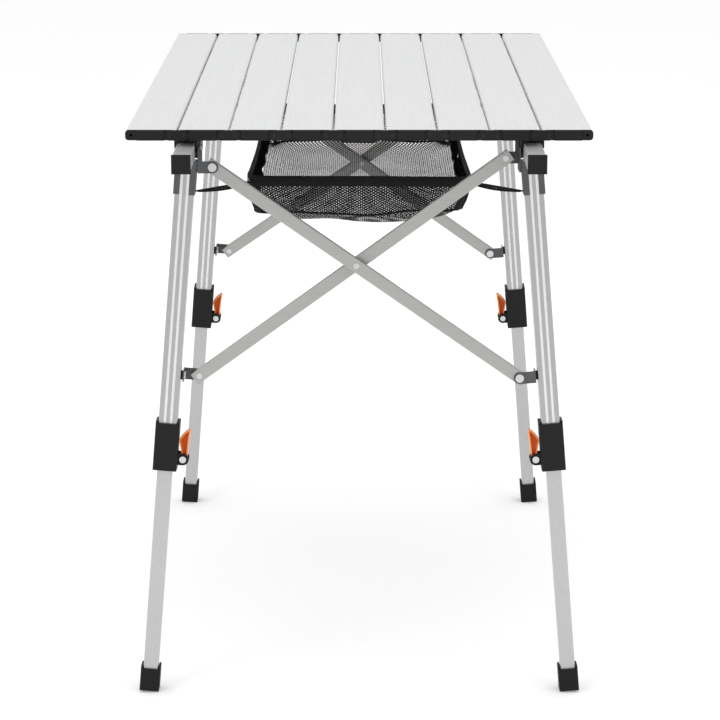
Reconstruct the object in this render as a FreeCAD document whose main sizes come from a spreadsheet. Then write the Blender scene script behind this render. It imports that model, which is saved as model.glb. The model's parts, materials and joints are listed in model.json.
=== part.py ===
import FreeCAD, Part
import os
import re
from math import atan2, copysign, cos, degrees, hypot, radians

import Sketcher

# Roll-top camping table.  A slatted top rests on two rails; each end of the rails
# stands on a pair of telescopic legs that an X of two braces holds apart.
# Frame: millimetres, +Z up, X across the slats, Y along them, the origin on the
# ground below the middle of the whole table.  "Outboard" is towards a rail's end.

V = FreeCAD.Vector
doc = FreeCAD.newDocument("camp_kitchen_table")
sheet = doc.addObject("Spreadsheet::Sheet", "sizes")

SIZES = {
    # the top
    "top_height": 685, "top_length": 900, "slat_count": 9, "slat_pitch": 60,
    "slat_gap": 2, "slat_thick": 12, "slat_skin": 1.5, "slat_side_wall": 2,
    "slat_corner": 4, "slat_slot": 36, "cap_flange": 2, "plug_depth": 14,
    "plug_clear": 0.2, "link_thick": 2.5, "pin_gap": 15.5, "link_clear": 0.5,
    "link_pin_radius": 1.6, "link_pin_depth": 9, "grip_drop": 2.8, "grip_width": 42,
    # the rails and what is fixed to them
    "rail_size": 20, "rail_wall": 1.5, "rail_length": 900, "rail_inset_slats": 1.15,
    "top_shift": 60, "end_cap_thick": 3, "end_cap_size": 22, "end_plug_depth": 16,
    "saddle_thick": 7, "saddle_wall": 3.2, "saddle_length": 30, "saddle_grip": 6,
    "saddle_inset": 85,
    # the leg frames
    "leg_size": 22, "leg_wall": 1.6, "leg_inset": 105, "leg_splay": 4.7,
    "leg_lean": 3.5, "pivot_offset": 26, "leg_top_gap": 4, "groove_width": 3,
    "groove_depth": 0.7, "clamp_drop": 318, "inner_leg_size": 17.6,
    "inner_leg_wall": 1.3, "inner_leg_overlap": 60, "foot_size": 23.5,
    "foot_height": 27, "foot_corner": 2, "foot_ear": 3, "foot_floor": 6, "clamp_width": 28.5,
    "clamp_height": 57, "clamp_ear": 2.5, "clamp_shoulder": 8, "fit_clear": 0.2,
    # the cam levers
    "lever_reach": 6.3, "lever_rise": 14, "lever_length": 36, "lever_elbow": 22,
    "lever_width": 11, "lug_thick": 2.6, "lug_radius": 7, "lever_hub": 5.2,
    "lever_pin_radius": 2, "hinge_clear": 0.06, "side_clear": 0.3,
    # braces and brackets
    "brace_width": 15, "brace_depth": 9.5, "brace_corner": 1.5,
    "plate_thick": 1.4, "sleeve_length": 40, "sleeve_lip": 7, "rivet_radius": 2.5,
    "rivet_head": 5, "rivet_head_thick": 1.8, "outer_rivet_drop": 22,
    "inner_rivet_drop": 13,
    "upper_rivet_in": 30, "lower_rivet_drop": 272, "lower_rivet_in": 33,
    "arm_width": 14, "washer_thick": 3, "washer_radius": 6, "bolt_radius": 3,
    "bolt_head": 5.5, "bolt_head_thick": 2.5, "base_stand": 2.5, "tab_height": 14,
    # the basket
    "basket_width": 270, "basket_length": 580, "basket_depth": 70, "basket_drop": 70,
    "basket_wall": 2, "basket_corner": 25, "strap_width": 9, "strap_thick": 1.5,
    "strap_clear": 1,
}
aliases = []


def cell(alias, content):
    """Adds a named cell: a plain number, or a formula that starts with =."""
    aliases.append(alias)
    sheet.set(f"A{len(aliases)}", alias)
    sheet.set(f"B{len(aliases)}", str(content))
    sheet.setAlias(f"B{len(aliases)}", alias)


for alias, value in SIZES.items():
    cell(alias, value)

# sizes that follow from the others
cell("slat_width", "=slat_pitch - slat_gap")
cell("rail_spacing", "=(slat_count - 2 * rail_inset_slats) * slat_pitch")
cell("brace_gap", "=leg_size - 2 * brace_depth")
cell("extrusion_length", "=top_length - 2 * cap_flange - 2 * link_thick")
cell("pin_x", "=slat_pitch / 2 - pin_gap / 2")
cell("bolt_y", "=rail_length / 2 - leg_inset - pivot_offset")
cell("clamp_bottom", "=clamp_drop + clamp_height")
cell("lever_x", "=clamp_width / 2 + lever_reach")
cell("lever_z", "=lever_rise - clamp_bottom")
cell("plate_in", "=leg_size / 2 + fit_clear")
cell("plate_out", "=plate_in + plate_thick")
cell("cheek_x", "=max(rail_size; leg_size) / 2 + washer_thick - 1")
cell("base_x", "=leg_size / 2 + base_stand")
cell("upper_rivet_x", "=rail_spacing / 2 - upper_rivet_in")
cell("lower_root", "=lower_rivet_drop - rail_size / 2")
cell("lower_rivet_x",
     "=rail_spacing / 2 + lower_root * tan(leg_splay * 1deg) - lower_rivet_in")
cell("brace_run", "=upper_rivet_x + lower_rivet_x")
for brace in ("outer", "inner"):
    cell(f"{brace}_fall", f"=lower_rivet_drop - {brace}_rivet_drop")
    cell(f"{brace}_pins", f"=sqrt(brace_run * brace_run + {brace}_fall * {brace}_fall)")
cell("crossing_x", "=(inner_rivet_drop - outer_rivet_drop) * lower_rivet_x"
                   " / (outer_fall + inner_fall)")
cell("lower_reach", "=lower_rivet_in * cos(leg_splay * 1deg)")
cell("lower_down",
     "=lower_root / cos(leg_splay * 1deg) - lower_rivet_in * sin(leg_splay * 1deg)")
doc.recompute()


class Sizes:
    """The sheet's cells as plain numbers."""

    def __getattr__(self, alias):
        return float(sheet.get(alias))


s = Sizes()


def bound(text):
    """An expression in the sheet's names, written for setExpression."""
    for alias in aliases:
        text = re.sub(rf"(?<![\w.]){alias}(?!\w)", f"sizes.{alias}", text)
    return text


# ------------------------------------------------------------------ Part helpers
def bind(obj, **sizes):
    for prop, text in sizes.items():
        obj.setExpression(prop.replace("_", "."), bound(text))
    return obj


def at(obj, x="0", y="0", z="0"):
    for axis, text in zip("xyz", (x, y, z)):
        obj.setExpression(f"Placement.Base.{axis}", bound(text))
    return obj


def box(name, size, corner, turn=None):
    """A box of three size expressions with its low corner at three others."""
    obj = doc.addObject("Part::Box", name)
    bind(obj, Length=size[0], Width=size[1], Height=size[2])
    if turn:
        obj.Placement = FreeCAD.Placement(V(0, 0, 0), turn)
    return at(obj, *corner)


AXES = {"x": FreeCAD.Rotation(V(0, 1, 0), 90), "y": FreeCAD.Rotation(V(1, 0, 0), -90),
        "z": FreeCAD.Rotation()}


def rod(name, axis, radius, length, start):
    """A cylinder that runs from start along +axis."""
    obj = doc.addObject("Part::Cylinder", name)
    bind(obj, Radius=radius, Height=length)
    obj.Placement = FreeCAD.Placement(V(0, 0, 0), AXES[axis])
    return at(obj, *start)


def fuse(name, shapes):
    obj = doc.addObject("Part::MultiFuse", name)
    obj.Shapes = shapes
    obj.Refine = True
    return obj


def cut(name, base, tools):
    tool = tools[0] if len(tools) == 1 else fuse(f"{name}_tools", tools)
    obj = doc.addObject("Part::Cut", name)
    obj.Base = base
    obj.Tool = tool
    obj.Refine = True
    return obj


# ------------------------------------------------------------ PartDesign helpers
def sketch_on(body, role, name):
    plane = next(o for o in body.Origin.OriginFeatures if o.Role == role)
    sketch = body.newObject("Sketcher::SketchObject", name)
    sketch.AttachmentSupport = [(plane, "")]
    sketch.MapMode = "FlatFace"
    return sketch


def limit(sketch, expression, *constraint):
    index = sketch.addConstraint(Sketcher.Constraint(*constraint))
    sketch.setExpression(f"Constraints[{index}]", bound(expression))


def rectangle(sketch, width, height, x="0", y="0"):
    """A rectangle centred on (x, y); each of the four is an expression."""
    first = sketch.GeometryCount
    ends = [V(-9, -9, 0), V(9, -9, 0), V(9, 9, 0), V(-9, 9, 0)]
    for i in range(4):
        sketch.addGeometry(Part.LineSegment(ends[i], ends[(i + 1) % 4]))
    for i in range(4):
        kind = "Vertical" if i % 2 else "Horizontal"
        sketch.addConstraint(Sketcher.Constraint(kind, first + i))
        after = first + (i + 1) % 4
        sketch.addConstraint(Sketcher.Constraint("Coincident", first + i, 2, after, 1))
    limit(sketch, width, "DistanceX", first, 1, first, 2, 18)
    limit(sketch, height, "DistanceY", first + 1, 1, first + 1, 2, 18)
    limit(sketch, f"{x} - ({width}) / 2", "DistanceX", -1, 1, first, 1, -9)
    limit(sketch, f"{y} - ({height}) / 2", "DistanceY", -1, 1, first, 1, -9)


def circle(sketch, radius, x="0", y="0"):
    index = sketch.addGeometry(Part.Circle(V(1, 1, 0), V(0, 0, 1), 3))
    limit(sketch, radius, "Radius", index, 3)
    limit(sketch, x, "DistanceX", -1, 1, index, 3, 1)
    limit(sketch, y, "DistanceY", -1, 1, index, 3, 1)


def body_of(name, role, outline, length, midplane=True, reverse=False):
    """A body whose first feature pads the sketch that outline() draws."""
    body = doc.addObject("PartDesign::Body", name)
    sketch = sketch_on(body, role, f"{name}_outline")
    outline(sketch)
    pad = body.newObject("PartDesign::Pad", f"{name}_pad")
    pad.Profile = sketch
    pad.setExpression("Length", bound(length))
    pad.Midplane = midplane
    pad.Reversed = reverse
    sketch.Visibility = False
    doc.recompute()
    return body


def pocket(body, role, outline, name):
    """Cuts the sketch that outline() draws right through the body."""
    before = body.Shape.Volume
    sketch = sketch_on(body, role, f"{body.Name}_{name}_outline")
    outline(sketch)
    hole = body.newObject("PartDesign::Pocket", f"{body.Name}_{name}")
    hole.Profile = sketch
    hole.Type = "ThroughAll"
    hole.Midplane = True
    doc.recompute()
    assert body.Shape.Volume < before - 1, f"{body.Name} {name} cut nothing"


def round_edges(body, direction, radius, name="round"):
    """Rounds the straight edges that run along direction."""
    tip = body.Tip
    names = []
    for number, edge in enumerate(body.Shape.Edges, start=1):
        if isinstance(edge.Curve, (Part.Line, Part.LineSegment)):
            if abs(abs(edge.tangentAt(edge.FirstParameter).dot(direction)) - 1) < 1e-6:
                names.append(f"Edge{number}")
    fillet = body.newObject("PartDesign::Fillet", f"{body.Name}_{name}")
    fillet.Base = (tip, names)
    fillet.setExpression("Radius", bound(radius))
    doc.recompute()


# ------------------------------------------------------------------------- nodes
nodes = {}


def placed(label, source, placement):
    """One copy of a modelled piece, where it belongs."""
    link = doc.addObject("App::Link", label)
    link.LinkedObject = source
    link.Placement = placement
    return link


def node(label, pieces):
    """A sub-part: its pieces are (source, placement) pairs, one solid each."""
    links = [placed(f"{label}_piece_{n}", *piece) for n, piece in enumerate(pieces, 1)]
    group = doc.addObject("Part::Compound", label)
    group.Label = label
    group.Links = links
    nodes[label] = group


def move(x=0.0, y=0.0, z=0.0, turn=None):
    return FreeCAD.Placement(V(x, y, z), turn or FreeCAD.Rotation())


X_AXIS, Y_AXIS, Z_AXIS = V(1, 0, 0), V(0, 1, 0), V(0, 0, 1)
HALF_TURN = FreeCAD.Rotation(Z_AXIS, 180)

# --------------------------------------------------------------- derived places
frame_reach = s.rail_length / 2 + s.end_cap_thick
top_reach = s.top_length / 2
frame_y = -(max(s.top_shift + top_reach, frame_reach)
            + min(s.top_shift - top_reach, -frame_reach)) / 2
top_y = frame_y + s.top_shift
slat_z = s.top_height - s.slat_thick / 2
rail_z = s.top_height - s.slat_thick - s.saddle_thick - s.rail_size / 2
rail_x = s.rail_spacing / 2

# --------------------------------------------------------------------- the slats


def make_slat():
    body = body_of("slat", "XZ_Plane",
                   lambda k: rectangle(k, "slat_width", "slat_thick"),
                   "extrusion_length")
    round_edges(body, Y_AXIS, "slat_corner")
    pocket(body, "XZ_Plane", lambda k: rectangle(
        k, f"slat_width - 2 * slat_side_wall", "slat_thick - 2 * slat_skin"), "hollow")
    pocket(body, "XZ_Plane", lambda k: rectangle(
        k, "slat_slot", "slat_thick", "0", "-slat_thick / 2"), "slot")
    return body


def make_end_cap(name, grip):
    """Seen from the front: a flange of the slat's outline, a panel in front of it
    between the links and a plug behind; local y = 0 is the slat's cut end."""
    flange = body_of(f"{name}_flange", "XZ_Plane",
                     lambda k: rectangle(k, "slat_width", "slat_thick"), "cap_flange",
                     midplane=False)
    round_edges(flange, Y_AXIS, "slat_corner")
    panel_half = "(pin_x - slat_thick / 2 - link_clear)"
    parts = [flange,
             box(f"{name}_panel",
                 (f"2 * {panel_half}", "link_thick + cap_flange / 2", "slat_thick"),
                 (f"-{panel_half}", "-link_thick - cap_flange", "-slat_thick / 2")),
             box(f"{name}_plug",
                 (f"slat_width - 2 * slat_side_wall - 2 * plug_clear",
                  "plug_depth + cap_flange / 2",
                  "slat_thick - 2 * slat_skin - 2 * plug_clear"),
                 (f"-slat_width / 2 + slat_side_wall + plug_clear",
                  "-cap_flange / 2", "-slat_thick / 2 + slat_skin + plug_clear"))]
    if grip:
        for place, width, depth, front in (
                ("front", f"2 * {panel_half}", "link_thick + cap_flange / 2",
                 "-link_thick - cap_flange"),
                ("back", "grip_width", "cap_flange", "-cap_flange")):
            parts.append(box(f"{name}_grip_{place}", (width, depth, "2 * grip_drop"),
                             (f"-{width} / 2", front, "-slat_thick / 2 - grip_drop")))
    solid = fuse(f"{name}_solid", parts)
    holes = [rod(f"{name}_hole_{side}", "y", "link_pin_radius + hinge_clear",
                 "link_pin_depth + cap_flange + 1",
                 (f"{sign}pin_x", "-cap_flange - 1", "0"))
             for side, sign in (("left", "-"), ("right", ""))]
    return cut(name, solid, holes)


def make_link():
    """A stadium plate over a joint between two slats; its back is at local y = 0."""
    plate = fuse("link_blank", [
        box("link_middle", ("pin_gap", "link_thick - side_clear / 2", "slat_thick"),
            ("-pin_gap / 2", "-link_thick", "-slat_thick / 2")),
        *[rod(f"link_round_{side}", "y", "slat_thick / 2", "link_thick - side_clear / 2",
              (f"{sign}pin_gap / 2", "-link_thick", "0"))
          for side, sign in (("left", "-"), ("right", ""))]])
    pins = [rod(f"link_pin_{side}", "y", "link_pin_radius",
                "link_thick / 2 + cap_flange + link_pin_depth - 1",
                (f"{sign}pin_gap / 2", "-link_thick / 2", "0"))
            for side, sign in (("left", "-"), ("right", ""))]
    return fuse("link", [plate, *pins])


slat = make_slat()
plain_cap = make_end_cap("slat_cap", False)
grip_cap = make_end_cap("grip_cap", True)
link = make_link()
count = int(s.slat_count)
first_x = -(count - 1) / 2 * s.slat_pitch


def both_ends(source, x, reach):
    """A piece at the near end of the top and its half-turned twin at the far end."""
    return [(source, move(x, top_y - reach, slat_z)),
            (source, move(x, top_y + reach, slat_z, HALF_TURN))]


for n in range(count):
    x = first_x + n * s.slat_pitch
    node(f"slat_{n + 1}", [(slat, move(x, top_y, slat_z))])
    cap = grip_cap if n == count // 2 else plain_cap
    node(f"slat_{n + 1}_end_caps", both_ends(cap, x, s.extrusion_length / 2))
for n in range(count - 1):
    x = first_x + (n + 0.5) * s.slat_pitch
    node(f"hinge_links_{n + 1}", both_ends(link, x, s.extrusion_length / 2 + s.cap_flange))

# --------------------------------------------------------------------- the rails


def make_rail():
    """A square tube along Y with a bolt hole near each end, local origin mid-tube."""
    body = body_of("rail", "XZ_Plane",
                   lambda k: rectangle(k, "rail_size", "rail_size"), "rail_length")
    round_edges(body, Y_AXIS, "rail_wall * 0.7")
    pocket(body, "XZ_Plane", lambda k: rectangle(
        k, "rail_size - 2 * rail_wall", "rail_size - 2 * rail_wall"), "bore")

    def bolt_holes(sketch):
        for sign in ("", "-"):
            circle(sketch, "bolt_radius + hinge_clear", f"{sign}bolt_y")

    pocket(body, "YZ_Plane", bolt_holes, "bolt_holes")
    return body


def make_end_plug():
    plug = "(rail_size - 2 * rail_wall - 2 * fit_clear)"
    return fuse("rail_end_cap", [
        box("end_cap_plate", ("end_cap_size", "end_cap_thick", "end_cap_size"),
            ("-end_cap_size / 2", "-end_cap_thick", "-end_cap_size / 2")),
        box("end_cap_plug", (plug, "end_plug_depth + end_cap_thick / 2", plug),
            (f"-{plug} / 2", "-end_cap_thick / 2", f"-{plug} / 2"))])


def make_saddle():
    """A clip over a rail; local origin on the middle of the rail's top face."""
    width = "(rail_size + 2 * fit_clear + 2 * saddle_wall)"
    start = f"-{width} / 2"
    return fuse("saddle", [
        box("saddle_bridge", (width, "saddle_length", "saddle_thick"),
            (start, "-saddle_length / 2", "0")),
        *[box(f"saddle_cheek_{side}", ("saddle_wall", "saddle_length",
                                       "saddle_thick + saddle_grip"),
              (x, "-saddle_length / 2", "-saddle_grip"))
          for side, x in (("outer", start), ("inner", f"{width} / 2 - saddle_wall"))]])


rail = make_rail()
end_plug = make_end_plug()
saddle = make_saddle()
rail_half = s.rail_length / 2
saddle_y = rail_half - s.saddle_inset - s.saddle_length / 2
for name, side in (("left", -1), ("right", 1)):
    node(f"rail_{name}", [(rail, move(side * rail_x, frame_y, rail_z))])
node("rail_end_caps", [
    (end_plug, move(side * rail_x, frame_y + end * rail_half, rail_z,
                    HALF_TURN if end > 0 else None))
    for side in (-1, 1) for end in (-1, 1)])
node("rail_saddles", [
    (saddle, move(side * rail_x, frame_y + end * saddle_y, rail_z + s.rail_size / 2))
    for side in (-1, 1) for end in (-1, 1)])

# -------------------------------------------------------------------- the basket
def make_basket():
    """An open box hung below the rails; local origin in the middle of its rim."""
    outer = body_of("basket_blank", "XY_Plane",
                    lambda k: rectangle(k, "basket_width", "basket_length"),
                    "basket_depth", midplane=False, reverse=True)
    round_edges(outer, Z_AXIS, "basket_corner")
    inner = body_of("basket_hollow", "XY_Plane",
                    lambda k: rectangle(k, "basket_width - 2 * basket_wall",
                                        "basket_length - 2 * basket_wall"),
                    "basket_depth", midplane=False, reverse=True)
    round_edges(inner, Z_AXIS, "basket_corner - basket_wall")
    at(inner, z="basket_wall")
    return cut("basket", outer, [inner])


basket_z = s.top_height - s.basket_drop
node("mesh_basket", [(make_basket(), move(0, frame_y, basket_z))])

# ------------------------------------------------- the leg frames' own directions
# A leg frame's local origin is the middle of its pivot axis, local -Y is outboard
# and the legs' middle plane lies at local y = -pivot_offset.


def frame_place(end):
    """Where the near (-1) or far (1) leg frame stands."""
    turn = FreeCAD.Rotation(Z_AXIS, 180 if end > 0 else 0)
    lean = FreeCAD.Rotation(X_AXIS, -s.leg_lean)
    return move(0, frame_y + end * s.bolt_y, rail_z, turn.multiply(lean))


def leg_place(end, side):
    """Where a leg's own frame stands: local -Z runs down the leg, and +X points to
    the table's middle.  side is -1 or 1 along the leg frame's own X."""
    splay = FreeCAD.Rotation(Y_AXIS, -side * s.leg_splay)
    inward = FreeCAD.Rotation(Z_AXIS, 180 if side > 0 else 0)
    local = move(side * rail_x, -s.pivot_offset, -s.rail_size / 2, splay.multiply(inward))
    return frame_place(end).multiply(local)


def leg_length():
    """From a leg's root to its foot's sole, so that the sole's lowest edge is at 0."""
    place = leg_place(-1, -1)
    root = place.Base.z
    across, along, down = (place.multVec(way).z - root for way in (X_AXIS, Y_AXIS, Z_AXIS))
    flat = s.foot_size / 2 - s.foot_corner
    dip = flat * (abs(across) + abs(along)) + s.foot_corner * hypot(across, along)
    return (root - dip) / down


sole = leg_length()
lower_leg_top = s.clamp_bottom - s.inner_leg_overlap
cell("lower_leg_length", sole - s.foot_floor - lower_leg_top)
doc.recompute()

# ---------------------------------------------------------------------- the legs


def make_upper_leg():
    """A square tube with two grooves on each face; local z = 0 is the leg's root."""
    size = "leg_size"

    def outline(sketch):
        rectangle(sketch, size, size)

    body = body_of("upper_leg_blank", "XY_Plane", outline,
                   "clamp_bottom - clamp_shoulder - fit_clear", False, True)
    round_edges(body, Z_AXIS, "leg_wall * 0.6")
    pocket(body, "XY_Plane", lambda k: rectangle(
        k, "leg_size - 2 * leg_wall", "leg_size - 2 * leg_wall"), "bore")

    def grooves(sketch):
        for sign in ("", "-"):
            for across in ("", "-"):
                spot = (f"{across}(leg_size / 6)", f"{sign}(leg_size / 2)")
                rectangle(sketch, "groove_width", "2 * groove_depth", *spot)
                rectangle(sketch, "2 * groove_depth", "groove_width", *reversed(spot))

    pocket(body, "XY_Plane", grooves, "grooves")
    top = box("upper_leg_top", ("2 * leg_size", "2 * leg_size", "leg_top_gap + 1"),
              ("-leg_size", "-leg_size", "-leg_top_gap"))
    rivet = rod("upper_leg_rivet_hole", "x", "rivet_radius + fit_clear / 2", "leg_size",
                ("0", "0", "-lower_down"))
    return cut("upper_leg", body, [top, rivet])


def make_lower_leg():
    """A plain square tube; local z = 0 is its top end."""
    body = body_of("lower_leg", "XY_Plane",
                   lambda k: rectangle(k, "inner_leg_size", "inner_leg_size"),
                   "lower_leg_length", False, True)
    round_edges(body, Z_AXIS, "inner_leg_wall * 0.7")
    pocket(body, "XY_Plane", lambda k: rectangle(
        k, "inner_leg_size - 2 * inner_leg_wall", "inner_leg_size - 2 * inner_leg_wall"),
        "bore")
    return body


def make_foot():
    """A rubber boot; local z = 0 is its sole.  Two of its walls stand higher."""
    blank = body_of("foot_blank", "XY_Plane",
                    lambda k: rectangle(k, "foot_size", "foot_size"),
                    "foot_height + foot_ear", False)
    round_edges(blank, Z_AXIS, "foot_corner")
    socket = "(inner_leg_size + fit_clear)"
    notch = "(inner_leg_size + 1)"
    return cut("foot", blank, [
        box("foot_socket", (socket, socket, "foot_height"),
            (f"-{socket} / 2", f"-{socket} / 2", "foot_floor")),
        box("foot_notch", (notch, "2 * foot_size", "2 * foot_ear"),
            (f"-{notch} / 2", "-foot_size", "foot_height"))])


# --------------------------------------------------------- the clamps and levers


def make_clamp():
    """The black housing at an upper leg's lower end, with two lugs for the lever."""
    outer = "clamp_width"
    wide = "(leg_size + 2 * fit_clear)"
    narrow = "(inner_leg_size + 2 * fit_clear)"
    blank = body_of("clamp_blank", "XY_Plane", lambda k: rectangle(k, outer, outer),
                    "clamp_height", False, True)
    round_edges(blank, Z_AXIS, "2")
    at(blank, z="-clamp_drop")
    ears = [box(f"clamp_ear_{side}", ("clamp_width / 2 - leg_size / 2 - fit_clear",
                                      "clamp_width - 4", "clamp_ear + 2"),
                (x, "-clamp_width / 2 + 2", "-clamp_drop - 2"))
            for side, x in (("outer", "-clamp_width / 2"),
                            ("inner", "leg_size / 2 + fit_clear"))]
    lugs = []
    for side, y in (("front", "-lever_width / 2 - side_clear - lug_thick"),
                    ("back", "lever_width / 2 + side_clear")):
        lugs.append(rod(f"lug_{side}", "y", "lug_radius", "lug_thick",
                        ("lever_x", y, "lever_z")))
        lugs.append(box(f"lug_web_{side}",
                        ("lever_reach + 2", "lug_thick", "2 * lug_radius"),
                        ("clamp_width / 2 - 2", y, "lever_z - lug_radius")))
    solid = fuse("clamp_solid", [blank, *ears, *lugs])
    pin = rod("clamp_pin_hole", "y", "lever_pin_radius + hinge_clear", "2 * clamp_width",
              ("lever_x", "-clamp_width", "lever_z"))
    return cut("clamp", solid, [
        box("clamp_bore", (wide, wide, "clamp_height + clamp_ear"),
            (f"-{wide} / 2", f"-{wide} / 2",
             "-clamp_drop - clamp_height + clamp_shoulder")),
        box("clamp_throat", (narrow, narrow, "2 * clamp_height"),
            (f"-{narrow} / 2", f"-{narrow} / 2", "-clamp_drop - 2 * clamp_height")),
        pin])


def lever_outline(sketch):
    """A crescent: a long outer curve, and an elbow that rests near the clamp.  The
    sketch's x points away from the leg and its y along the lever."""
    tip, elbow = s.lever_length, s.lever_elbow
    points = [V(s.lever_hub * 0.9, tip, 0), V(0.2 - s.lever_hub, elbow + 1.5, 0),
              V(0.2 - s.lever_hub, elbow - 1.5, 0), V(-1.5, s.lever_hub - 1, 0),
              V(s.lever_hub * 0.8, 0, 0), V(s.lever_hub * 1.25, tip - 1, 0)]
    middle = V(s.lever_hub * 1.05, tip * 0.5, 0)
    for a, b in zip(points[:3], points[1:4]):
        sketch.addGeometry(Part.LineSegment(a, b))
    sketch.addGeometry(Part.Arc(points[3], V(0.3, -s.lever_hub * 0.6, 0), points[4]))
    sketch.addGeometry(Part.Arc(points[4], middle, points[5]))
    sketch.addGeometry(Part.LineSegment(points[5], points[0]))
    for i in range(6):
        sketch.addConstraint(Sketcher.Constraint("Coincident", i, 2, (i + 1) % 6, 1))


def make_lever():
    """A cam lever; local origin on its pivot."""
    blade = body_of("lever_blade", "XZ_Plane", lever_outline, "lever_width")
    hub = rod("lever_hub_disc", "y", "lever_hub", "lever_width", ("0", "-lever_width / 2",
                                                                 "0"))
    solid = fuse("lever_solid", [blade, hub])
    pin = rod("lever_pin_hole", "y", "lever_pin_radius + hinge_clear", "2 * lever_width",
              ("0", "-lever_width", "0"))
    return cut("lever", solid, [pin])


# ---------------------------------------------------------- braces and brackets


def make_brace(brace, shift):
    """A flat bar along X with a rivet hole at each end and one at the crossing; its
    upper end is at -X."""
    body = body_of(f"{brace}_brace", "YZ_Plane",
                   lambda k: rectangle(k, "brace_depth", "brace_width"),
                   f"{brace}_pins + brace_width")
    round_edges(body, X_AXIS, "brace_corner")

    def holes(sketch):
        crossing = f"{brace}_pins * ((upper_rivet_x {shift} crossing_x) / brace_run - 0.5)"
        for x in (f"{brace}_pins / 2", f"-{brace}_pins / 2", crossing):
            circle(sketch, "rivet_radius + fit_clear / 2", x)

    pocket(body, "XZ_Plane", holes, "holes")
    return body


def arm_plate(name, start, reach, z, y):
    """A plate across Y from x = start to a rounded end with a rivet hole at reach."""
    plate = fuse(f"{name}_arm", [
        box(f"{name}_arm_bar", (f"{reach} - {start}", "plate_thick", "arm_width"),
            (start, y, f"{z} - arm_width / 2")),
        rod(f"{name}_arm_end", "y", "arm_width / 2", "plate_thick", (reach, y, z))])
    hole = rod(f"{name}_arm_hole", "y", "rivet_radius + fit_clear / 2",
               "3 * plate_thick", (reach, f"{y} - plate_thick", z))
    return cut(f"{name}_arm_drilled", plate, [hole])


def make_upper_bracket(name, arm_y, drop):
    """A sleeve on the leg's top with a cheek up beside the rail and an arm to the
    brace.  Local origin on the leg's root, +X to the table's middle."""
    splay = FreeCAD.Rotation(Y_AXIS, s.leg_splay)
    low = "-leg_top_gap - sleeve_length"
    outer = box(f"{name}_sleeve_outer", ("2 * plate_out", "2 * plate_out",
                                         "sleeve_length"),
                ("-plate_out", "-plate_out", low))
    inner = box(f"{name}_sleeve_inner", ("2 * plate_in", "2 * plate_in",
                                         "3 * sleeve_length"),
                ("-plate_in", "-plate_in", "-2 * sleeve_length"))
    mouth = box(f"{name}_sleeve_mouth", ("2 * (plate_out - sleeve_lip)", "plate_out",
                                         "3 * sleeve_length"),
                ("-plate_out + sleeve_lip", "-1.5 * plate_out", "-2 * sleeve_length"))
    sleeve = cut(f"{name}_sleeve", outer, [inner, mouth])
    sleeve.Placement = move(turn=splay)
    weld_low = "-leg_top_gap - arm_width"
    parts = [
        sleeve,
        box(f"{name}_cheek", ("plate_thick", "pivot_offset + plate_out",
                              f"rail_size / 2 - ({weld_low})"),
            ("cheek_x", "-plate_out", weld_low)),
        rod(f"{name}_cheek_end", "x", "rail_size * 0.45", "plate_thick",
            ("cheek_x", "pivot_offset", "rail_size / 2")),
        box(f"{name}_weld", ("cheek_x - plate_in + 0.4", "2 * (plate_in - 1)",
                             "arm_width - 1"),
            ("plate_in - 0.3", "-plate_in + 1", weld_low)),
        arm_plate(name, "cheek_x", "upper_rivet_in", f"rail_size / 2 - {drop}",
                  arm_y),
        box(f"{name}_tab", ("3 * plate_thick", "plate_thick", "tab_height + 1"),
            ("cheek_x + plate_thick - 0.1", arm_y,
             f"rail_size / 2 - {drop} + arm_width / 2 - 1"))]
    solid = fuse(f"{name}_solid", parts)
    bolt = rod(f"{name}_bolt_hole", "x", "bolt_radius + fit_clear / 2",
               "4 * plate_thick", ("cheek_x - plate_thick", "pivot_offset",
                                   "rail_size / 2"))
    return cut(name, solid, [bolt])


def mirrored(name, source):
    obj = doc.addObject("Part::Mirroring", name)
    obj.Source = source
    obj.Normal = X_AXIS
    return obj


def make_lower_bracket():
    """An L of plate off the leg's inner face, in the leg's own frame, arm at +Y."""
    parts = [
        box("lower_bracket_base", ("plate_thick", "plate_out + arm_width / 2",
                                   "arm_width"),
            ("base_x", "-arm_width / 2", "-lower_down - arm_width / 2")),
        arm_plate("lower_bracket", "base_x", "lower_reach", "-lower_down", "plate_in")]
    hole = rod("lower_bracket_hole", "x", "rivet_radius + fit_clear / 2",
               "4 * plate_thick", ("base_x - plate_thick", "0", "-lower_down"))
    return cut("lower_bracket_piece", fuse("lower_bracket_solid", parts), [hole])


def ring(name, axis, radius, hole, length, start):
    """A washer or spacer: a disc with a hole, its low face at start."""
    disc = rod(f"{name}_disc", axis, radius, length, start)
    shift = dict(zip("xyz", range(3)))[axis]
    begin = list(start)
    begin[shift] = f"{start[shift]} - 1"
    return cut(name, disc, [rod(f"{name}_hole", axis, hole, f"{length} + 2", begin)])


def headed_pin(name, axis, radius, start, length, heads):
    """A pin from start along +axis; heads are (radius, thickness) at its two ends,
    or None."""
    shift = dict(zip("xyz", range(3)))[axis]
    parts = [rod(f"{name}_shank", axis, radius, length, start)]
    for end, head in enumerate(heads):
        if head:
            begin = list(start)
            back = f"- {head[1]}" if end == 0 else f"+ {length}"
            begin[shift] = f"{start[shift]} {back}"
            parts.append(rod(f"{name}_head_{end}", axis, head[0], head[1], begin))
    return fuse(name, parts)


rivet_hole = "rivet_radius + fit_clear / 2"
head = ("rivet_head", "rivet_head_thick")
small_head = ("rivet_radius + 1", "rivet_head_thick / 2")
grip = "plate_thick + fit_clear + brace_depth"

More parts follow.
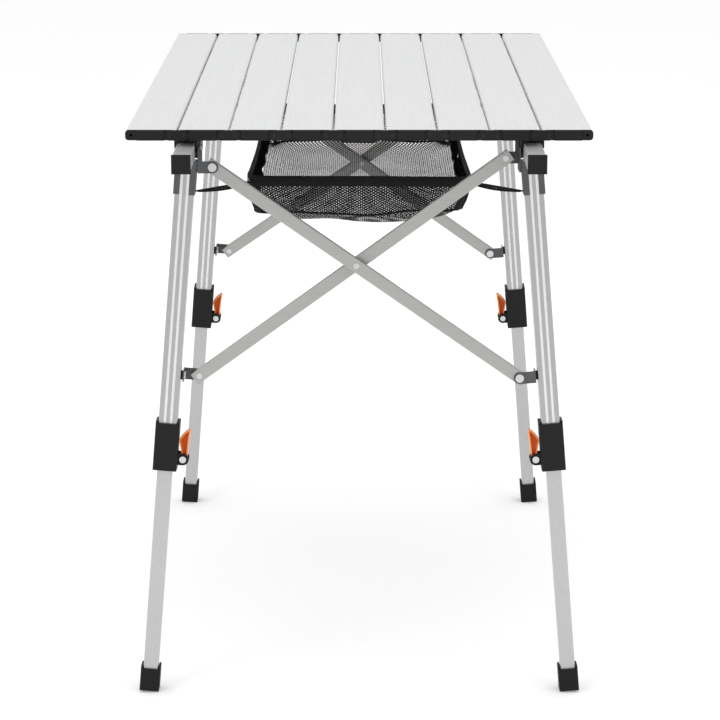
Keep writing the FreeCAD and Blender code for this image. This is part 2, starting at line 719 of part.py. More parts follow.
upper_leg = make_upper_leg()
lower_leg = make_lower_leg()
foot = make_foot()
clamp = make_clamp()
lever = make_lever()
braces = {"outer": make_brace("outer", "+"), "inner": make_brace("inner", "-")}
left_bracket = make_upper_bracket("upper_bracket_left", "-plate_out",
                                  "outer_rivet_drop")
right_bracket = mirrored("upper_bracket_right", make_upper_bracket(
    "upper_bracket_far", "plate_in", "inner_rivet_drop"))
lower_bracket = make_lower_bracket()
crossing_spacer = ring("crossing_spacer", "y", "brace_width * 0.43", rivet_hole,
                       "brace_gap", ("0", "-brace_gap / 2", "0"))
pivot_washer = ring("pivot_washer", "x", "washer_radius", "bolt_radius + fit_clear / 2",
                    "cheek_x - rail_size / 2 - side_clear",
                    ("rail_size / 2 + side_clear", "0", "0"))
base_spacer = ring("base_spacer", "x", "washer_radius - 0.5", rivet_hole, "base_stand",
                   ("leg_size / 2", "0", "-lower_down"))
brace_rivet = headed_pin("brace_rivet", "y", "rivet_radius",
                         ("0", "-plate_out", "0"), grip, (head, small_head))
crossing_rivet = headed_pin(
    "crossing_rivet", "y", "rivet_radius", ("0", "-brace_gap / 2 - brace_depth", "0"),
    "brace_gap + 2 * brace_depth", (small_head, small_head))
base_rivet = headed_pin("base_rivet", "x", "rivet_radius",
                        ("leg_size / 2 - leg_wall", "0", "-lower_down"),
                        "base_stand + plate_thick + leg_wall", (None, head))
bolt_head = ("bolt_head", "bolt_head_thick")
pivot_bolt = headed_pin("pivot_bolt", "x", "bolt_radius",
                        ("-rail_size / 2 - side_clear", "0", "0"),
                        "rail_size / 2 + side_clear + cheek_x + plate_thick",
                        (bolt_head, bolt_head))
lever_pin = headed_pin(
    "lever_pin", "y", "lever_pin_radius",
    ("lever_x", "-lever_width / 2 - side_clear - lug_thick", "lever_z"),
    "lever_width + 2 * side_clear + 2 * lug_thick",
    (("lever_pin_radius * 2", "1.2"), ("lever_pin_radius * 2", "1.2")))
doc.recompute()

ACROSS = FreeCAD.Placement(V(0, -2 * s.pivot_offset, 0), HALF_TURN)
crossing_z = (-s.outer_rivet_drop
              - s.outer_fall * (s.upper_rivet_x + s.crossing_x) / s.brace_run)


def in_frame(end, x=0.0, y=0.0, z=0.0, turn=None, across=False):
    """A place in a leg frame; across is its half-turned twin in the legs' plane."""
    local = move(x, y, z, turn)
    if across:
        local = ACROSS.multiply(local)
    return frame_place(end).multiply(local)


for end, frame_name in ((-1, "near"), (1, "far")):
    plane_y = -s.pivot_offset
    legs = [leg_place(end, side) for side in (-1, 1)]
    node(f"{frame_name}_upper_legs", [(upper_leg, leg) for leg in legs])
    node(f"{frame_name}_clamps", [(clamp, leg) for leg in legs])
    node(f"{frame_name}_lower_brackets", [(lower_bracket, leg) for leg in legs])
    node(f"{frame_name}_upper_brackets", [
        (left_bracket, in_frame(end, -rail_x, plane_y, -s.rail_size / 2)),
        (right_bracket, in_frame(end, rail_x, plane_y, -s.rail_size / 2))])
    rivet_spots = []
    for kind, drop, fall in (("outer", s.outer_rivet_drop, s.outer_fall),
                             ("inner", s.inner_rivet_drop, s.inner_fall)):
        across = kind == "inner"
        slope = degrees(atan2(fall, s.brace_run))
        spot = in_frame(end, (s.lower_rivet_x - s.upper_rivet_x) / 2,
                        plane_y - s.brace_gap / 2 - s.brace_depth / 2,
                        -(drop + s.lower_rivet_drop) / 2,
                        FreeCAD.Rotation(Y_AXIS, slope), across)
        node(f"{frame_name}_{kind}_brace", [(braces[kind], spot)])
        rivet_spots.append(in_frame(end, -s.upper_rivet_x, plane_y, -drop,
                                    across=across))
        rivet_spots.append(in_frame(end, s.lower_rivet_x, plane_y, -s.lower_rivet_drop,
                                    across=across))
    crossing = in_frame(end, s.crossing_x, plane_y, crossing_z)
    mirror_turn = FreeCAD.Rotation(Z_AXIS, 180)
    washers = []
    bolts = []
    for side in (-1, 1):
        turn = mirror_turn if side > 0 else None
        for y, z in ((0, 0), (plane_y - s.plate_out + s.washer_radius + 2, -6)):
            washers.append((pivot_washer, in_frame(end, side * rail_x, y, z, turn)))
        bolts.append((pivot_bolt, in_frame(end, side * rail_x, turn=turn)))
    node(f"{frame_name}_spacers", [
        (crossing_spacer, crossing), *washers,
        *[(base_spacer, leg) for leg in legs]])
    node(f"{frame_name}_rivets", [
        *[(brace_rivet, spot) for spot in rivet_spots],
        (crossing_rivet, crossing), *bolts,
        *[(base_rivet, leg) for leg in legs], *[(lever_pin, leg) for leg in legs]])
    for side, leg in zip(("left", "right"), legs):
        top = leg.multiply(move(z=-lower_leg_top))
        node(f"{frame_name}_{side}_lower_leg", [(lower_leg, top)])
        node(f"{frame_name}_{side}_foot", [(foot, leg.multiply(move(z=-sole)))])
        pivot = leg.multiply(move(s.lever_x, 0, s.lever_z))
        node(f"{frame_name}_{side}_lever", [(lever, pivot)])

# -------------------------------------------------------------- the basket's straps


def make_straps():
    """Flat elastic straps from the basket's corners to the leg sleeves."""
    half_x = s.basket_width / 2 - s.basket_corner * (1 - cos(radians(45)))
    half_y = s.basket_length / 2 - s.basket_corner * (1 - cos(radians(45)))
    pieces = []
    z = basket_z - s.strap_width
    for end in (-1, 1):
        for side in (-1, 1):
            leg = leg_place(end, side)
            down = (z - leg.Base.z) / (leg.multVec(V(0, 0, 1)).z - leg.Base.z)
            tie = leg.multVec(V(s.plate_out, 0, down))
            begin = V(copysign(half_x, tie.x), frame_y + end * half_y, z)
            finish = V(tie.x, tie.y, z)
            line = (finish - begin).normalize()
            begin = begin + line * s.strap_clear
            finish = finish - line * (s.strap_clear + s.plate_thick + s.strap_thick)
            strap = doc.addObject("Part::Box", f"strap_{len(pieces) + 1}")
            bind(strap, Width="strap_thick", Height="strap_width")
            strap.Length = (finish - begin).Length
            turn = FreeCAD.Rotation(X_AXIS, line)
            middle = FreeCAD.Placement(begin, turn).multiply(
                move(y=-s.strap_thick / 2, z=-s.strap_width / 2))
            pieces.append((strap, middle))
    return pieces


node("basket_straps", make_straps())

# ---------------------------------------------------------------- check and write
doc.recompute()
for obj in doc.Objects:
    if {"Invalid", "Error"} & set(obj.State):
        raise RuntimeError(f"{obj.Label} failed: {obj.State}")
for label, obj in nodes.items():
    if obj.Shape.isNull() or not obj.Shape.isValid() or not obj.Shape.Solids:
        raise RuntimeError(f"{label} has a bad shape")
os.makedirs("parts", exist_ok=True)
for label, obj in nodes.items():
    obj.Shape.exportStep(f"parts/{label}.step")
print(len(nodes), "nodes;", sum(len(o.Shape.Solids) for o in nodes.values()), "solids")
box_all = Part.makeCompound([o.Shape for o in nodes.values()]).BoundBox
print("box", box_all)
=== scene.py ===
import json
import math

import bmesh
import bpy
from mathutils import Matrix, Vector, noise


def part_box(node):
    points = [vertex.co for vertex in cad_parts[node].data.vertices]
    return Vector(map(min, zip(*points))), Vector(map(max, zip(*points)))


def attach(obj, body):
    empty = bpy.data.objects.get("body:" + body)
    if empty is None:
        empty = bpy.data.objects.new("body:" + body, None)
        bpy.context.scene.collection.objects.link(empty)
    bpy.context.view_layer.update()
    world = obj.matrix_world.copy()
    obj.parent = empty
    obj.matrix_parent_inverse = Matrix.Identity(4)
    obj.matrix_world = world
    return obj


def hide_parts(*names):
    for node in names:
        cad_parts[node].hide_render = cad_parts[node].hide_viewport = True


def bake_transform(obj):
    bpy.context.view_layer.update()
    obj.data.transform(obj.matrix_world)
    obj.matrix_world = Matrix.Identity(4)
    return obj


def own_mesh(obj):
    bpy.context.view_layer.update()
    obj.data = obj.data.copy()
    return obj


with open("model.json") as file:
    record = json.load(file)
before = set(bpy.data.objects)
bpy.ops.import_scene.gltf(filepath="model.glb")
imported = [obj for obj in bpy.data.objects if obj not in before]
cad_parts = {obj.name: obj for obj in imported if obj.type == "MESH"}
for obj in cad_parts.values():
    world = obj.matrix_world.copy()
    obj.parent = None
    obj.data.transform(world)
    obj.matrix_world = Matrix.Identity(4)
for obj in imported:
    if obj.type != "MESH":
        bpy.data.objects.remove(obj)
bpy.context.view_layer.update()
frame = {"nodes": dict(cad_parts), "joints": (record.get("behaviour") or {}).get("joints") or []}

# Camping table with a slatted roll-up top, telescopic legs and a mesh basket.
# Metres, +Z up, +Y along the slats.  CAD pieces keep their shape and get their
# materials here; the basket, its straps, the pin heads and the cam levers are
# modelled here.

nodes = frame["nodes"]
joints = {j["name"]: j for j in frame["joints"]}
ENDS = ("near", "far")
SIDES = ("left", "right")


# ------------------------------------------------------------------ materials
class Shader:
    """A Principled material and short ways to wire nodes into it."""

    def __init__(self, name, colour, roughness, metallic=0.0, **sockets):
        self.material = bpy.data.materials.new(name)
        self.material.use_nodes = True
        self.tree = self.material.node_tree
        self.shader = self.tree.nodes["Principled BSDF"]
        self.set("Base Color", (*colour, 1))
        self.set("Roughness", roughness)
        self.set("Metallic", metallic)
        for socket, value in sockets.items():
            self.set(socket.replace("_", " "), value)
        self.coords = self.add("ShaderNodeTexCoord").outputs["Object"]

    def set(self, socket, value):
        self.shader.inputs[socket].default_value = value

    def add(self, kind, **inputs):
        node = self.tree.nodes.new(kind)
        for key, value in inputs.items():
            socket = node.inputs[key.replace("_", " ")]
            if isinstance(value, bpy.types.NodeSocket):
                self.tree.links.new(value, socket)
            else:
                socket.default_value = value
        return node

    def stretched(self, scale):
        mapping = self.add("ShaderNodeMapping", Vector=self.coords)
        mapping.inputs["Scale"].default_value = scale
        return mapping.outputs["Vector"]

    def noise(self, scale, size=1.0, detail=4.0, roughness=0.6):
        node = self.add("ShaderNodeTexNoise", Vector=self.stretched(scale), Scale=size,
                        Detail=detail, Roughness=roughness)
        return node.outputs["Fac"]

    def ramp(self, factor, low, high, stops=(0.3, 0.7)):
        node = self.add("ShaderNodeValToRGB", Fac=factor)
        for element, colour, stop in zip(node.color_ramp.elements, (low, high), stops):
            element.color = (*colour, 1) if not isinstance(colour, float) else (
                colour, colour, colour, 1)
            element.position = stop
        return node.outputs["Color"]

    def bump(self, height, distance, strength=1.0, normal=None):
        node = self.add("ShaderNodeBump", Height=height, Distance=distance,
                        Strength=strength)
        if normal:
            self.tree.links.new(normal, node.inputs["Normal"])
        return node.outputs["Normal"]

    def link(self, output, socket):
        self.tree.links.new(output, self.shader.inputs[socket])


def brushed(name, colour, along, roughness=0.34, metallic=0.75, depth=0.00002):
    """Anodised aluminium with drawn lines along one axis and faint handling marks."""
    m = Shader(name, colour, roughness, metallic)
    lines = [1500.0, 1500.0, 1500.0]
    lines[along] = 12.0
    drawn = m.noise(lines, detail=3)
    cloud = m.noise((9.0, 9.0, 9.0), detail=5)
    dark = tuple(c * 0.93 for c in colour)
    light = tuple(min(1.0, c * 1.05) for c in colour)
    m.link(m.ramp(drawn, dark, light), "Base Color")
    mixed = m.add("ShaderNodeMath")
    mixed.operation = "MULTIPLY"
    m.tree.links.new(drawn, mixed.inputs[0])
    m.tree.links.new(cloud, mixed.inputs[1])
    m.link(m.ramp(mixed.outputs[0], roughness - 0.07, roughness + 0.1, (0.12, 0.45)),
           "Roughness")
    m.link(m.bump(drawn, depth), "Normal")
    return m.material


def moulded(name, colour, roughness, grain=0.00005, size=1400.0, **sockets):
    """Moulded plastic or rubber: a fine spark-eroded grain and rubbed patches."""
    m = Shader(name, colour, roughness, **sockets)
    fine = m.noise((size, size, size), detail=2)
    rubbed = m.noise((60.0, 60.0, 60.0), detail=6)
    worn = tuple(min(1.0, c * 1.2 + 0.002) for c in colour)
    m.link(m.ramp(rubbed, colour, worn, (0.45, 0.8)), "Base Color")
    m.link(m.ramp(rubbed, roughness - 0.06, roughness + 0.08), "Roughness")
    m.link(m.bump(fine, grain), "Normal")
    return m.material


def cloth(name, colour, pitch):
    """Woven tape: fine cross ribs."""
    m = Shader(name, colour, 0.85, Sheen_Weight=0.06, Sheen_Roughness=0.5,
               Specular_IOR_Level=0.2)
    waves = []
    for direction in ("X", "Z"):
        wave = m.add("ShaderNodeTexWave", Vector=m.coords, Scale=0.314 / pitch,
                     Distortion=0.6, Detail=1.0)
        wave.bands_direction = direction
        waves.append(wave.outputs["Fac"])
    both = m.add("ShaderNodeMath")
    both.operation = "MULTIPLY"
    for n, wave in enumerate(waves):
        m.tree.links.new(wave, both.inputs[n])
    pale = tuple(c * 2.0 + 0.002 for c in colour)
    m.link(m.ramp(both.outputs[0], colour, pale, (0.1, 0.9)), "Base Color")
    m.link(m.bump(both.outputs[0], 0.0003), "Normal")
    return m.material


ALONG_Y, ALONG_Z, ALONG_X = 1, 2, 0
slat_metal = brushed("slat_anodised", (0.785, 0.79, 0.80), ALONG_Y, 0.36, 0.45)
rail_metal = brushed("rail_anodised", (0.64, 0.64, 0.65), ALONG_Y, 0.36, 0.55)
leg_metal = brushed("leg_anodised", (0.44, 0.44, 0.445), ALONG_Z, 0.32, 0.85)
inner_leg_metal = brushed("lower_leg_anodised", (0.52, 0.52, 0.53), ALONG_Z, 0.38, 0.8)
# painted highlight: the upper legs' grooves are painted pale to stand in for the light they
# catch
groove_highlight_metal = brushed("leg_groove_painted_highlight", (0.80, 0.80, 0.81), ALONG_Z, 0.30, 0.7)
brace_metal = brushed("brace_aluminium", (0.42, 0.42, 0.405), ALONG_X, 0.40, 0.7)
bracket_metal = moulded("bracket_steel", (0.085, 0.088, 0.092), 0.42, 0.00002, 900.0,
                        Metallic=0.5)
rivet_metal = brushed("rivet_steel", (0.62, 0.63, 0.64), ALONG_Z, 0.28, 0.9, 0.00001)
black_plastic = moulded("black_nylon", (0.0075, 0.0075, 0.0085), 0.5,
                        Specular_IOR_Level=0.22)
black_rubber = moulded("black_rubber", (0.009, 0.009, 0.0095), 0.65, 0.00008, 900.0,
                       Specular_IOR_Level=0.2)
orange_plastic = moulded("orange_nylon", (0.92, 0.265, 0.022), 0.34, 0.00002, 900.0,
                         Coat_Weight=0.15)
# painted shade: the lever's sunk web is the same orange nylon, darkened to stand in for the
# shade in its recess
web_painted_shade_plastic = moulded("orange_nylon_web_painted_shade", (0.50, 0.07, 0.004), 0.45, 0.00003, 900.0,
                      Specular_IOR_Level=0.25)
net_cloth = moulded("black_net", (0.006, 0.006, 0.0065), 0.8, 0.00003, 2500.0,
                    Specular_IOR_Level=0.2)
tape_cloth = cloth("black_tape", (0.006, 0.006, 0.0065), 0.0011)
wire_metal = brushed("hook_wire", (0.68, 0.68, 0.69), ALONG_X, 0.3, 0.9, 0.00001)


def finish_of(node):
    """The material of a CAD node, by its name."""
    table = (("end_caps", black_plastic), ("hinge_links", black_plastic),
             ("slat", slat_metal), ("rail_saddles", black_plastic),
             ("rail", rail_metal), ("upper_legs", leg_metal),
             ("lower_leg", inner_leg_metal), ("clamps", black_plastic),
             ("brackets", bracket_metal), ("brace", brace_metal),
             ("spacers", black_plastic), ("rivets", rivet_metal),
             ("foot", black_rubber), ("lever", orange_plastic),
             ("basket", net_cloth))
    return next(material for word, material in table if word in node)


EDGE = {"end_caps": 0.0005, "hinge_links": 0.0006, "clamps": 0.0006, "foot": 0.0008,
        "rail_saddles": 0.0005, "brackets": 0.0003, "rivets": 0.0006, "spacers": 0.0004}

for name, obj in nodes.items():
    for slot in obj.material_slots:
        slot.material = finish_of(name)
    if not obj.material_slots:
        obj.data.materials.append(finish_of(name))
    width = next((w for word, w in EDGE.items() if word in name), None)
    if width:
        bevel = obj.modifiers.new("soft_edges", "BEVEL")
        bevel.width = width
        bevel.segments = 2
        bevel.limit_method = "ANGLE"
        bevel.angle_limit = math.radians(50)
        bevel.harden_normals = True


# The drawn grooves of the upper legs get a slot of their own, painted much paler than
# the flats: a painted highlight for the light the grooves catch.
LEG_HALF, GROOVE_DEEP, LEG_TO_PIVOT = 0.011, 0.0007, 0.02055
for end in ENDS:
    legs = nodes[f"{end}_upper_legs"]
    legs.data.materials.append(groove_highlight_metal)
    frames = []
    for side in SIDES:
        up = Vector(joints[f"{end}_{side}_leg_length"]["axis"]).normalized()
        y_way = Vector(joints[f"{end}_{side}_cam_lever"]["axis"]).normalized()
        pivot = Vector(joints[f"{end}_{side}_cam_lever"]["pos_m"])
        frames.append((up, y_way, y_way.cross(up), pivot))
    for polygon in legs.data.polygons:
        middle = sum((legs.data.vertices[v].co for v in polygon.vertices), Vector())
        middle /= len(polygon.vertices)
        up, y_way, x_way, pivot = min(frames, key=lambda f: abs((middle - f[3]).dot(f[2])))
        across = abs((middle - pivot).dot(y_way))
        inward = abs((middle - pivot).dot(x_way) + LEG_TO_PIVOT)
        reach = max(across, inward)
        other = min(across, inward)
        sunk = LEG_HALF - 1.5 * GROOVE_DEEP < reach < LEG_HALF - 0.05 * GROOVE_DEEP
        if sunk and other < LEG_HALF * 0.6:
            polygon.material_index = len(legs.data.materials) - 1


# ------------------------------------------------------------- mesh and curves
def mesh_piece(name, vertices, faces, material, body, smooth=True):
    mesh = bpy.data.meshes.new(name)
    mesh.from_pydata([tuple(v) for v in vertices], [], faces)
    mesh.validate()
    for polygon in mesh.polygons:
        polygon.use_smooth = smooth
    mesh.materials.append(material)
    obj = bpy.data.objects.new(name, mesh)
    bpy.context.scene.collection.objects.link(obj)
    if body:
        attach(obj, body)
    return obj


def sweep(path, profile, closed=False, up=Vector((0, 0, 1))):
    """Vertices and faces of a closed profile carried along a path.  The profile is
    (across, upward) pairs."""
    vertices, faces = [], []
    count, ring = len(path), len(profile)
    for i, point in enumerate(path):
        if closed:
            way = path[(i + 1) % count] - path[i - 1]
        else:
            way = path[min(i + 1, count - 1)] - path[max(i - 1, 0)]
        across = way.cross(up).normalized()
        lift = across.cross(way).normalized()
        vertices += [point + across * a + lift * b for a, b in profile]
    for i in range(count if closed else count - 1):
        a, b = i * ring, (i + 1) % count * ring
        for k in range(ring):
            faces.append((a + k, a + (k + 1) % ring, b + (k + 1) % ring, b + k))
    if not closed:
        faces.append(tuple(range(ring))[::-1])
        faces.append(tuple(range((count - 1) * ring, count * ring)))
    return vertices, faces


def round_profile(radius, sides=8):
    turns = [2 * math.pi * k / sides for k in range(sides)]
    return [(radius * math.cos(t), radius * math.sin(t)) for t in turns]


def flat_profile(half_wide, half_thick):
    return [(-half_wide, -half_thick), (half_wide, -half_thick),
            (half_wide, half_thick), (-half_wide, half_thick)]


def tape_profile(width, thick, lip=0.0004):
    """An upright tape's section with softened edges."""
    w, t = width / 2, thick / 2
    return [(-t, -w + lip), (-t + lip, -w), (t - lip, -w), (t, -w + lip),
            (t, w - lip), (t - lip, w), (-t + lip, w), (-t, w - lip)]


def ribbon_net(point, nu, nv, width, closed):
    """A diamond net over the surface point(u, v), u and v from 0 to 1.  The yarns are
    flat strips, with upright ones too on the long sides of a closed net.  nu cells lie
    across, and nv half-cells down."""
    vertices, faces = [], []

    def grid(i, j):
        u = (i + (0.5 if j % 2 else 0.0)) / nu
        return point(u % 1.0 if closed else min(max(u, 0.0), 1.0), j / nv)

    def normal(i, j):
        u = (i + 0.5) / nu % 1.0
        v = min(j / nv, 0.98)
        base = point(u, v)
        step = 0.4 / nu
        return (point(min(u + step, 1.0), v) - base).cross(point(u, v + 0.02) - base)

    for j in range(nv):
        for i in range(nu + (0 if closed else 1)):
            start = grid(i, j)
            facing = normal(min(i, nu - 1), j)
            for step in (0, 1) if j % 2 else (-1, 0):
                if not closed and not 0 <= i + step <= nu:
                    continue
                finish = grid(i + step, j + 1)
                way = finish - start
                if way.length < 1e-6:
                    continue
                side = way.cross(facing).normalized() * width / 2
                fin = facing.normalized() * width / 2
                along_side = closed and abs(facing.x) > 0.8 * facing.length
                for half in (side, fin) if along_side else (side,):
                    n = len(vertices)
                    vertices += [start - half, start + half, finish + half,
                                 finish - half]
                    faces.append((n, n + 1, n + 2, n + 3))
    return vertices, faces


# ------------------------------------------------------------------ the basket
low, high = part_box("mesh_basket")
basket_mid = (Vector(low) + Vector(high)) / 2
half_x = (high[0] - low[0]) / 2
half_y = (high[1] - low[1]) / 2
rim_z, floor_z = high[2], low[2]
TAPE_WIDE, TAPE_THICK = 0.0125, 0.0018
RIM_IN, RIM_CORNER = 0.0012, 0.018
SEAM_IN_X, SEAM_IN_Y, SEAM_CORNER, SEAM_RISE = 0.009, 0.020, 0.030, 0.021
LOOP_STEPS = 320


def loop_point(t, hx, hy, radius):
    """A point of a rounded rectangle about the basket's middle; t runs once round."""
    sx, sy = 2 * (hx - radius), 2 * (hy - radius)
    arc = math.pi * radius / 2
    runs = [sx / 2, arc, sy, arc, sx, arc, sy, arc, sx / 2]
    rest = (t % 1.0) * sum(runs)
    corners = [(hx - radius, -hy + radius, -90), (hx - radius, hy - radius, 0),
               (-hx + radius, hy - radius, 90), (-hx + radius, -hy + radius, 180)]
    for n, run in enumerate(runs):
        if rest <= run or n == len(runs) - 1:
            break
        rest -= run
    if n % 2:
        cx, cy, start = corners[n // 2]
        angle = math.radians(start) + rest / radius
        return Vector((cx + radius * math.cos(angle), cy + radius * math.sin(angle), 0))
    lines = {0: ((0, -hy), (1, 0)), 2: ((hx, -hy + radius), (0, 1)),
             4: ((hx - radius, hy), (-1, 0)), 6: ((-hx, hy - radius), (0, -1)),
             8: ((-hx + radius, -hy), (1, 0))}
    (x, y), (dx, dy) = lines[n]
    return Vector((x + dx * rest, y + dy * rest, 0))


def rim_point(t):
    p = loop_point(t, half_x - RIM_IN, half_y - RIM_IN, RIM_CORNER)
    along = 1 - (p.y / half_y) ** 2
    across = 1 - (p.x / half_x) ** 2
    on_side = abs(p.x) > half_x - 0.02
    p.x -= math.copysign(0.003 * along, p.x) if on_side else 0
    if not on_side:
        p.y -= math.copysign(0.004 * across, p.y)
    sag = 0.006 * along if on_side else 0.001 * across
    wave = 0.0012 * noise.noise(Vector((p.x * 9, p.y * 9, 3)))
    z = rim_z - TAPE_WIDE / 2 - 0.001 - sag + wave
    return Vector((p.x + basket_mid.x, p.y + basket_mid.y, z))


def seam_point(t):
    """The sewn line where the side net meets the bottom net."""
    p = loop_point(t, half_x - SEAM_IN_X, half_y - SEAM_IN_Y, SEAM_CORNER)
    wave = noise.noise(Vector((p.x * 13, p.y * 13, 7)))
    lean = Vector((p.x, p.y, 0)).normalized() * 0.004 * noise.noise(
        Vector((p.x * 22, p.y * 22, 1)))
    z = floor_z + SEAM_RISE + 0.006 * wave
    return Vector((p.x + basket_mid.x + lean.x, p.y + basket_mid.y + lean.y, z))


def wall_point(t, v):
    top = rim_point(t) - Vector((0, 0, TAPE_WIDE / 2 - 0.002))
    bottom = seam_point(t)
    p = top.lerp(bottom, v)
    out = Vector((p.x - basket_mid.x, p.y - basket_mid.y, 0)).normalized()
    belly = math.sin(math.pi * v)
    crease = noise.noise(Vector((p.x * 28, p.y * 28, v * 2.5)))
    return p + out * belly * (0.004 + 0.0035 * crease)


def floor_point(u, v):
    """The bottom net: u across the basket, v along it."""
    x, y = 2 * u - 1, 2 * v - 1
    hx, hy = half_x - SEAM_IN_X, half_y - SEAM_IN_Y
    squeeze_x = hx * math.sqrt(max(0.0, 1 - 0.13 * abs(y) ** 14))
    squeeze_y = hy * math.sqrt(max(0.0, 1 - 0.10 * abs(x) ** 14))
    sag = (1 - abs(x) ** 5) * (1 - abs(y) ** 12)
    fold = noise.noise(Vector((x * 2.1, y * 4.2, 5))) * 0.5 + 0.5
    z = floor_z + SEAM_RISE - sag * (0.024 - 0.008 * fold)
    z += 0.006 * noise.noise(Vector((x * hx * 13, y * hy * 13, 7))) * (1 - sag)
    return Vector((basket_mid.x + x * squeeze_x, basket_mid.y + y * squeeze_y, z))


v, f = ribbon_net(wall_point, 290, 24, 0.0014, True)
side_net = mesh_piece("basket_side_net", v, f, net_cloth, "rails_and_basket")
v, f = ribbon_net(floor_point, 48, 210, 0.0017, False)
floor_net = mesh_piece("basket_floor_net", v, f, net_cloth, "rails_and_basket")
rim_path = [rim_point(k / LOOP_STEPS) for k in range(LOOP_STEPS)]
v, f = sweep(rim_path, tape_profile(TAPE_WIDE, TAPE_THICK), True)
rim_tape = mesh_piece("basket_rim_tape", v, f, tape_cloth, "rails_and_basket")
seam_path = [seam_point(k / LOOP_STEPS) for k in range(LOOP_STEPS)]
v, f = sweep(seam_path, round_profile(0.0014, 6), True)
seam_cord = mesh_piece("basket_seam_piping", v, f, tape_cloth, "rails_and_basket")
corner_tapes = []
for corner in range(4):
    hx, hy = half_x - RIM_IN, half_y - RIM_IN
    total = 4 * (hx + hy) - 8 * RIM_CORNER + 2 * math.pi * RIM_CORNER
    arc = math.pi * RIM_CORNER / 2
    reach = [hx - RIM_CORNER + arc / 2,
             hx - RIM_CORNER + arc * 1.5 + 2 * (hy - RIM_CORNER)]
    t = (reach + [total - reach[1], total - reach[0]])[corner] / total
    path = [wall_point(t, k / 12) for k in range(13)]
    v, f = sweep(path, flat_profile(0.003, 0.0006), up=Vector((0, 1, 0.01)))
    corner_tapes.append(mesh_piece(f"basket_corner_tape_{corner + 1}", v, f, tape_cloth,
                                   "rails_and_basket"))
soft_pieces = [side_net, floor_net, rim_tape, seam_cord, *corner_tapes]
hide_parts("mesh_basket")
for piece in soft_pieces:
    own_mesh(piece)


# ------------------------------------------------------------------ the straps
strap_low, strap_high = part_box("basket_straps")
strap_z = (strap_low[2] + strap_high[2]) / 2
for end, end_y in (("near", -1), ("far", 1)):
    for side, side_x in (("left", -1), ("right", 1)):
        edge_y = strap_low[1] if end_y < 0 else strap_high[1]
        edge_x = strap_low[0] if side_x < 0 else strap_high[0]
        leg_end = Vector((edge_x, edge_y, strap_z))
        bag_end = Vector((side_x * (half_x - 0.006),
                          basket_mid.y + end_y * (half_y - 0.006), strap_z))
        way = bag_end - leg_end
        for layer, shift in (("upper", 0.0016), ("lower", -0.0016)):
            path = []
            for k in range(17):
                q = k / 16
                droop = -0.0015 * math.sin(math.pi * q)
                spread = shift * math.sin(math.pi * q)
                path.append(leg_end + way * q + Vector((0, 0, droop + spread)))
            v, f = sweep(path, flat_profile(0.0035, 0.0007))
            strap = mesh_piece(f"{end}_{side}_strap_{layer}", v, f, tape_cloth, None)
            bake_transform(strap)
        hook = []
        for k in range(25):
            a = math.radians(-210 + k * 12)
            hook.append(Vector((0.0032 * math.cos(a), 0, 0.0045 * math.sin(a))))
        turn = way.to_track_quat("X", "Z").to_matrix()
        middle = bag_end - way.normalized() * 0.006
        v, f = sweep([middle + turn @ p for p in hook], round_profile(0.0007, 6),
                     up=turn @ Vector((0, 1, 0)))
        ring = mesh_piece(f"{end}_{side}_strap_hook", v, f, wire_metal,
                          "rails_and_basket")
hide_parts("basket_straps")

# ------------------------------------------------------- hinge pins of the top
PIN_APART, PIN_RADIUS, PIN_OUT = 0.00775, 0.0026, 0.0004
pin_plastic = moulded("pin_head", (0.012, 0.012, 0.013), 0.5, 0.00002, 900.0,
                      Specular_IOR_Level=0.25)


def pin_rings(x, y, z, out):
    """A pin's raised ring and its sunk middle, on a face that looks along out * Y."""
    steps = 28
    section = [(1.0, -0.002), (1.0, 1.0), (0.72, 1.0), (0.62, 0.15), (0.30, 0.15),
               (0.22, 0.6), (0.0, 0.6)]
    vertices, faces = [], []
    for radius, rise in section:
        for k in range(steps):
            turn = 2 * math.pi * k / steps
            vertices.append((x + PIN_RADIUS * radius * math.cos(turn),
                             y + out * PIN_OUT * rise,
                             z + PIN_RADIUS * radius * math.sin(turn)))
    for row in range(len(section) - 1):
        for k in range(steps):
            a, b = row * steps + k, row * steps + (k + 1) % steps
            faces.append((a, b, b + steps, a + steps))
    return vertices, faces


for number in range(1, 9):
    low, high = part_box(f"hinge_links_{number}")
    hinge = joints[f"top_fold_{number}_left"]["pos_m"]
    vertices, faces = [], []
    for y, out in ((low[1], -1), (high[1], 1)):
        for shift in (-1, 1):
            v, f = pin_rings((low[0] + high[0]) / 2 + shift * PIN_APART, y, hinge[2], out)
            faces += [tuple(k + len(vertices) for k in face) for face in f]
            vertices += v
    heads = mesh_piece(f"hinge_pin_heads_{number}", vertices, faces, pin_plastic,
                       f"top_link_{number}")

# ----------------------------------------------------------------- cam levers
# The blade's corners lie to the side of and above the pivot, in the lever's own frame.
HUB, TIP, ELBOW, WIDE = 0.0052, 0.036, 0.022, 0.011
ELBOW_OUT, ELBOW_ROUND = 0.00015, 0.0015
RIM_THICK, WALL_SLOPE, WEB_DEPTH = 0.0015, 0.0003, 0.0028


def arc_points(a, b, c, steps):
    """Points on the circle through three 2-D points, from a to c by way of b."""
    d = 2 * (a[0] * (b[1] - c[1]) + b[0] * (c[1] - a[1]) + c[0] * (a[1] - b[1]))
    aa, bb, cc = (p[0] ** 2 + p[1] ** 2 for p in (a, b, c))
    x = (aa * (b[1] - c[1]) + bb * (c[1] - a[1]) + cc * (a[1] - b[1])) / d
    y = (aa * (c[0] - b[0]) + bb * (a[0] - c[0]) + cc * (b[0] - a[0])) / d
    radius = math.hypot(a[0] - x, a[1] - y)
    first = math.atan2(a[1] - y, a[0] - x)
    last = math.atan2(c[1] - y, c[0] - x)
    mid = math.atan2(b[1] - y, b[0] - x)
    while last < first:
        last += 2 * math.pi
    while mid < first:
        mid += 2 * math.pi
    if mid > last:
        last -= 2 * math.pi
    return [(x + radius * math.cos(first + (last - first) * k / steps),
             y + radius * math.sin(first + (last - first) * k / steps))
            for k in range(steps + 1)]


